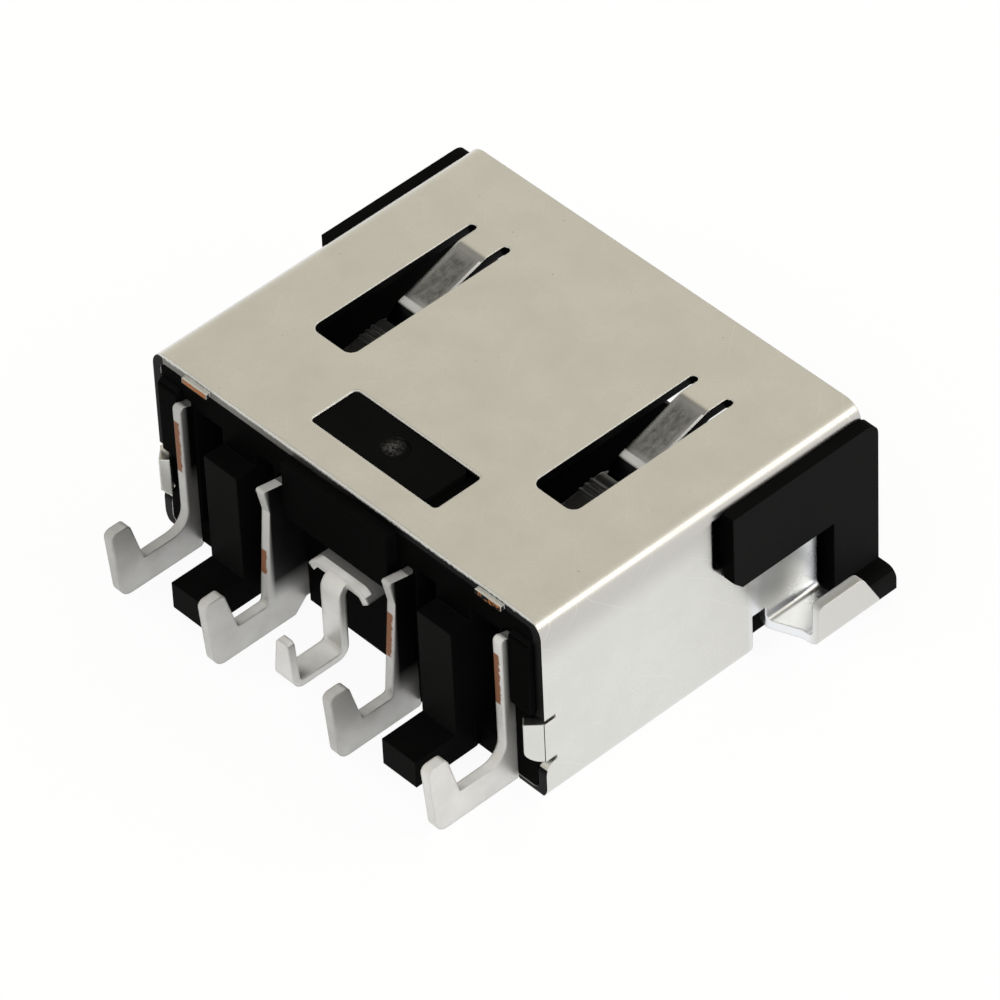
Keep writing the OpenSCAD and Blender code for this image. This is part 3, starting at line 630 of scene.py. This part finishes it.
    height = minus(
        tree,
        product(tree, look["Grain"], plate["grainHeight"]),
        product(tree, lines, plate["lineDepth"]),
    )
    height = minus(tree, height, product(tree, look["Specks"], plate["speckDepth"]))
    height = total(
        tree,
        height,
        product(tree, strokes, spring, plate["strokeHeight"]),
        product(tree, creaseHeight(tree, parts), onWall, plate["creaseHeight"]),
    )
    bumped(tree, shader, plate["bump"], plate["bumpDepth"], height, edge["Normal"])
    # the glints and the hook tips' tops are made partly matt, so that their painted highlight shows
    # bright
    matt = product(tree, largest(tree, glint, tipTop), plate["mattShare"])
    tree.links.new(minus(tree, 1.0, matt), shader.inputs["Metallic"])
    return finish


moulding = {
    "colour": (0.0050, 0.0051, 0.0050, 1.0),
    # painted light: the ears' sideways faces are painted lighter
    "side": (0.0130, 0.0131, 0.0135, 1.0),
    # painted shade: the back faces are painted darker, and those standing proud of the shell less
    # dark, as painted light
    "rear": (0.0022, 0.0022, 0.0021, 1.0),
    "foot": (0.0085, 0.0087, 0.0086, 1.0),
    # lighter colour: real wear in clouds and specks, painted highlight on the edges
    "wornAndSheen": (0.0095, 0.0097, 0.0102, 1.0),
    "mark": (0.105, 0.104, 0.099, 1.0),
    "grain": {"Cloud Scale": 0.9, "Grain Scale": 16.0, "Speck Share": 0.12},
    "wornByCloud": (0.4, 0.7, 0.0, 0.3),
    "edgeSheenShare": 0.5,
    "wornSpecks": 0.6,
    "earFrom": 6.1,
    "ribsFrom": 0.3,
    "faceFrom": 0.7,
    "roughness": 0.50,
    "smoother": 0.05,
    "rougher": 0.08,
    "ior": 1.09,
    "specular": 0.12,
    "edgeRadius": 0.04 * mm,
    "edgeGain": 4.0,
    "bump": 0.35,
    "bumpDepth": 0.006 * mm,
    # the round mark in the window, placed from the middle and from the rear edge
    "markMiddle": (-0.13, 1.555),
    "markRadius": 0.34,
    "markCore": 0.3,
    "markRagged": (-0.08, 0.1),
    "markGrain": (0.38, 0.62),
    "markDepth": 0.2,
}


def roundMark(tree, parts, look):
    markX, markBack = moulding["markMiddle"]
    radius = moulding["markRadius"]
    away = join(tree, minus(tree, parts[0], markX), minus(tree, parts[1], markBack - shellEdge))
    reach = vectors(tree, "LENGTH", away)["Value"]
    ragged = total(tree, reach, swing(tree, look["Cloud"], *moulding["markRagged"]))
    return product(
        tree,
        spread(tree, ragged, radius, radius * moulding["markCore"]),
        over(tree, parts[2], plateTop - moulding["markDepth"]),
        spread(tree, look["Grain"], *moulding["markGrain"]),
    )


def sidewaysFaces(tree, least):
    return largest(tree, faces(tree, rightward, least), faces(tree, leftward, least))


def mouldingFinish():
    finish, tree, shader = newFinish("blackMoulding")
    spot = place(tree, ruler)
    parts = split(tree, spot["Place"])
    look = place(tree, grain, {"Place": spot["Place"], **moulding["grain"]})
    edge = place(
        tree, edgeHighlight, {"Radius": moulding["edgeRadius"], "Gain": moulding["edgeGain"]}
    )

    onEar = over(tree, absolute(tree, parts[0]), moulding["earFrom"])
    # where the painted light on the ears' sideways faces lies
    outward = product(tree, sidewaysFaces(tree, moulding["faceFrom"]), onEar)
    # painted shade on the back faces, lighter where they stand proud of the shell
    backFace = faces(tree, rearward, moulding["faceFrom"])
    proud = under(tree, parts[1], -shellEdge - moulding["ribsFrom"])
    backShading = mixed(tree, proud, moulding["rear"], moulding["foot"])
    frontColour = mixed(tree, outward, moulding["colour"], moulding["side"])
    cloudy = spread(tree, look["Cloud"], *moulding["wornByCloud"])
    layers = (
        (product(tree, cloudy, minus(tree, 1.0, backFace)), moulding["wornAndSheen"]),
        # painted highlight: the edges are painted lighter
        (product(tree, edge["Mask"], moulding["edgeSheenShare"]), moulding["wornAndSheen"]),
        (product(tree, look["Specks"], moulding["wornSpecks"]), moulding["wornAndSheen"]),
        (roundMark(tree, parts, look), moulding["mark"]),
    )
    body = mixed(tree, backFace, frontColour, backShading)
    for mask, colour in layers:
        body = mixed(tree, mask, body, colour)
    tree.links.new(body, shader.inputs["Base Color"])

    usual = moulding["roughness"]
    low, high = usual - moulding["smoother"], usual + moulding["rougher"]
    tree.links.new(swing(tree, look["Grain"], low, high), shader.inputs["Roughness"])
    bumped(
        tree, shader, moulding["bump"], moulding["bumpDepth"], look["Grain"], edge["Normal"]
    )
    shader.inputs["IOR"].default_value = moulding["ior"]
    shader.inputs["Specular IOR Level"].default_value = moulding["specular"]
    return finish


tin = {
    "colour": (0.78, 0.775, 0.755, 1.0),
    "dull": (0.60, 0.59, 0.565, 1.0),
    "copper": (0.26, 0.115, 0.06, 1.0),
    "shade": (0.010, 0.010, 0.010, 1.0),
    "innerShade": (0.16, 0.16, 0.155, 1.0),
    "grain": {"Cloud Scale": 1.6, "Grain Scale": 10.0, "Speck Share": 0.1},
    "dullMost": 0.45,
    "speckShare": 0.3,
    "metal": 0.7,
    "roughness": 0.42,
    "smoother": 0.03,
    "rougher": 0.08,
    "copperRoughness": 0.16,
    "edgeRadius": 0.09 * mm,
    "edgeGain": 4.0,
    "bump": 0.2,
    "bumpDepth": 0.004 * mm,
    "copperSoft": 0.04,
    "copperRagged": 0.03,
    "copperBetween": (0.06, 0.02),
    "rearFrom": 0.85,
    "sideFrom": 0.7,
    "shadeSoft": 0.12,
    "innerFrom": 2.0,
    # the tails' tops lean back, as if worn round
    "roundOver": 0.6,
    "topFrom": 0.6,
    "tailFrom": 0.1,
}


def shadedSides(tree, parts, shade):
    shadeBack, shadeLow, shadeHigh = shade
    start = -shellEdge - shadeBack
    inShell = product(
        tree,
        spread(tree, parts[1], start, start + tin["shadeSoft"]),
        spread(tree, parts[2], shadeLow, shadeHigh),
    )
    return product(tree, sidewaysFaces(tree, tin["sideFrom"]), inShell)


def leantNormal(tree, parts, normal):
    onTail = product(
        tree,
        faces(tree, upward, tin["topFrom"]),
        under(tree, parts[1], -shellEdge - tin["tailFrom"]),
    )
    back = join(tree, y=product(tree, onTail, -tin["roundOver"]))
    return vectors(tree, "NORMALIZE", vectors(tree, "ADD", normal, back)[0])[0]


def tinFinish(name, tone, shade, copperLow, copperHigh):
    finish, tree, shader = newFinish(name)
    spot = place(tree, ruler)
    parts = split(tree, spot["Place"])
    look = place(tree, grain, {"Place": spot["Place"], **tin["grain"]})
    edge = place(tree, edgeHighlight, {"Radius": tin["edgeRadius"], "Gain": tin["edgeGain"]})

    raw = within(tree, spot["Place"], copperLow, copperHigh, tin["copperSoft"])
    raw = product(tree, raw, faces(tree, rearward, tin["rearFrom"]))
    ragged, middle = tin["copperRagged"], (copperLow[0] + copperHigh[0]) / 2
    across = total(tree, parts[0], swing(tree, look["Grain"], -ragged, ragged))
    low, high = tin["copperBetween"]
    copper = product(tree, raw, spread(tree, across, middle + low, middle + high))

    # inside the shell the blades' sides see nothing but the block, so there the tin is painted
    # darker as painted shade; the edges are left out of it, as painted highlight
    innerShade = product(
        tree,
        over(tree, parts[1], tin["innerFrom"] - shellEdge),
        minus(tree, 1.0, edge["Mask"]),
    )
    layers = (
        (product(tree, look["Specks"], tin["speckShare"]), tin["dull"]),
        (innerShade, tin["innerShade"]),
        (shadedSides(tree, parts, shade), tin["shade"]),
    )
    cloudy = swing(tree, look["Cloud"], 0.0, tin["dullMost"])
    body = mixed(tree, cloudy, tin["colour"], tin["dull"])
    for mask, colour in layers:
        body = mixed(tree, mask, body, colour)
    body = mixed(tree, copper, toned(tree, body, tone), tin["copper"])
    tree.links.new(body, shader.inputs["Base Color"])

    usual = tin["roughness"]
    rough = total(
        tree,
        swing(tree, look["Cloud"], usual - tin["smoother"], usual + tin["rougher"]),
        product(tree, raw, tin["copperRoughness"]),
    )
    tree.links.new(rough, shader.inputs["Roughness"])
    leant = leantNormal(tree, parts, edge["Normal"])
    bumped(tree, shader, tin["bump"], tin["bumpDepth"], look["Grain"], leant)
    shader.inputs["Metallic"].default_value = tin["metal"]
    return finish


# Bare copper on the blades' sheared rear edges: middle, low end and high end
bareCopper = {
    "bladeHalf": 0.125,
    "margin": 0.06,
    "reach": 0.9,
    "ground_terminal_left": (-5.09, 2.44, 3.96),
    "ground_terminal_right": (5.09, 2.44, 3.96),
    "power_terminal_left": (-2.0, 1.71, 2.41),
    "power_terminal_right": (2.0, 1.95, 3.21),
}
# How bright each tail is
tones = {
    "ground_terminal_left": 0.66,
    "ground_terminal_right": 1.0,
    "power_terminal_left": 0.74,
    "power_terminal_right": 0.68,
    "sense_terminal": 0.95,
}
# Where the blades' sides go dark: reach behind the shell, and the heights between which it sets in
shades = {"ground": (0.22, 1.9, 2.6), "power": (0.62, 0.9, 1.5), "sense": (-20.0, 0.0, 1.0)}
# A zone far outside the object, for the terminal with no bare copper
nowhere = ((90.0, 90.0, 90.0), (91.0, 91.0, 91.0))


def copperZone(name):
    middle, low, high = bareCopper[name]
    half = bareCopper["bladeHalf"] + bareCopper["margin"]
    return (middle - half, -shellEdge - bareCopper["reach"], low), (middle + half, -shellEdge, high)


dress(["shell"], plateFinish())
dress(["housing"], mouldingFinish())
for name in (
    "ground_terminal_left",
    "ground_terminal_right",
    "power_terminal_left",
    "power_terminal_right",
):
    kind, _, side = name.split("_")
    finishName = "tinned" + kind.capitalize() + side.capitalize()
    dress([name], tinFinish(finishName, tones[name], shades[kind], *copperZone(name)))
sense = tinFinish("tinnedSense", tones["sense_terminal"], shades["sense"], *nowhere)
dress(["sense_terminal"], sense)
print("finishes made")

stage = {"width": 600 * mm, "colour": (0.95, 0.95, 0.945, 1.0), "show": 0.9, "white": 1.03}


def makeFloor():
    half = stage["width"] / 2
    corners = [(-half, -half, 0), (half, -half, 0), (half, half, 0), (-half, half, 0)]
    floorMesh = bpy.data.meshes.new("floor")
    floorMesh.from_pydata(corners, [], [(0, 1, 2, 3)])
    floor = bpy.data.objects.new("floor", floorMesh)
    floor.location.z = lowCorner.z
    scene.collection.objects.link(floor)
    finish = bpy.data.materials.new("paleFloor")
    finish.use_nodes = True
    tree = finish.node_tree
    tree.nodes.clear()
    path = put(tree, "ShaderNodeLightPath").outputs
    rays = (path[kind] for kind in ("Is Camera Ray", "Is Glossy Ray", "Is Transmission Ray"))
    shown = product(tree, largest(tree, *rays), stage["show"])
    matt = put(tree, "ShaderNodeBsdfDiffuse", {"Color": stage["colour"]}).outputs[0]
    white = put(tree, "ShaderNodeEmission", {"Strength": stage["white"]}).outputs[0]
    both = put(tree, "ShaderNodeMixShader", {0: shown, 1: matt, 2: white}).outputs[0]
    put(tree, "ShaderNodeOutputMaterial", {"Surface": both})
    floorMesh.materials.append(finish)


# High up the sky's colour goes by how far it lies toward the mouth, low down by how far to the
# right
sky = {
    "high": (
        (-1.0, (1.0, 1.0, 0.985)),
        (-0.26, (1.0, 0.995, 0.97)),
        (-0.08, (0.15, 0.145, 0.135)),
        (0.12, (0.13, 0.125, 0.115)),
        (0.34, (0.68, 0.635, 0.54)),
        (0.44, (0.74, 0.695, 0.59)),
        (1.0, (0.80, 0.755, 0.65)),
    ),
    "low": (
        (-1.0, (0.80, 0.76, 0.66)),
        (-0.50, (0.82, 0.78, 0.69)),
        (0.10, (1.0, 0.995, 0.98)),
        (1.0, (1.0, 0.995, 0.98)),
    ),
    "lowUpTo": 0.30,
    "highFrom": 0.62,
}


def skyRamp(tree, part, stops):
    ramp = put(tree, "ShaderNodeValToRGB", {0: spread(tree, part, -1.0, 1.0)})
    marks = ramp.color_ramp.elements
    while len(marks) < len(stops):
        marks.new(0.5)
    for mark, (side, colour) in zip(marks, stops):
        mark.position = side / 2 + 0.5
        mark.color = (*colour, 1.0)
    return ramp.outputs["Color"]


def makeWorld():
    world = bpy.data.worlds.new("studio")
    scene.world = world
    world.use_nodes = True
    tree = world.node_tree
    tree.nodes.clear()
    path = put(tree, "ShaderNodeLightPath").outputs
    way = split(tree, put(tree, "ShaderNodeTexCoord").outputs["Generated"])
    height = spread(tree, way["Z"], sky["lowUpTo"], sky["highFrom"], style="SMOOTHSTEP")
    low, high = skyRamp(tree, way["X"], sky["low"]), skyRamp(tree, way["Y"], sky["high"])
    glow = mixed(tree, height, low, high)
    shown = mixed(tree, path["Is Camera Ray"], glow, (1, 1, 1, 1))
    back = put(tree, "ShaderNodeBackground", {"Color": shown, "Strength": 1.0}).outputs[0]
    put(tree, "ShaderNodeOutputWorld", {"Surface": back})


softboxes = {
    "fold": {
        "towards": (0.70, 0.479, 0.53),
        "distance": 420 * mm,
        "size": (420 * mm, 130 * mm),
        "radiance": 1.5,
        "colour": (1.0, 0.985, 0.93),
    },
}


def makeLights():
    middle = (lowCorner + highCorner) / 2
    for name, box in softboxes.items():
        lamp = bpy.data.lights.new(name, "AREA")
        lamp.shape = "RECTANGLE"
        lamp.size, lamp.size_y = box["size"]
        lamp.energy = 4.0 * box["radiance"] * lamp.size * lamp.size_y
        lamp.color = box["colour"]
        holder = bpy.data.objects.new(name, lamp)
        way = Vector(box["towards"]).normalized()
        holder.location = middle + way * box["distance"]
        holder.rotation_euler = way.to_track_quat("Z", "Y").to_euler()
        scene.collection.objects.link(holder)


# Angles in degrees, the rest in millimetres
shot = {
    "azimuth": 48.629,
    "elevation": 43.617,
    "roll": -2.721,
    "distance": 170.651,
    "aim": (2.46998, -2.46298, 4.94105),
    "lens": 288.0,
    "sensor": 36.0,
    "clip": 10.0,
}


def makeCamera():
    lens = bpy.data.cameras.new("camera")
    lens.lens = shot["lens"]
    lens.sensor_width = shot["sensor"]
    lens.clip_start = shot["clip"] * mm
    holder = bpy.data.objects.new("camera", lens)
    scene.collection.objects.link(holder)
    scene.camera = holder
    turn, rise, roll = (math.radians(shot[key]) for key in ("azimuth", "elevation", "roll"))
    back = Vector(
        (math.sin(turn) * math.cos(rise), -math.cos(turn) * math.cos(rise), math.sin(rise))
    )
    level = Vector((math.cos(turn), math.sin(turn), 0))
    upright = back.cross(level)
    right = level * math.cos(roll) + upright * math.sin(roll)
    up = upright * math.cos(roll) - level * math.sin(roll)
    frameTurn = Matrix((right, up, back)).transposed()
    standing = (Vector(shot["aim"]) + back * shot["distance"]) * mm
    holder.matrix_world = Matrix.Translation(standing) @ frameTurn.to_4x4()


makeFloor()
makeWorld()
makeLights()
makeCamera()
print("stage, lights and camera set")
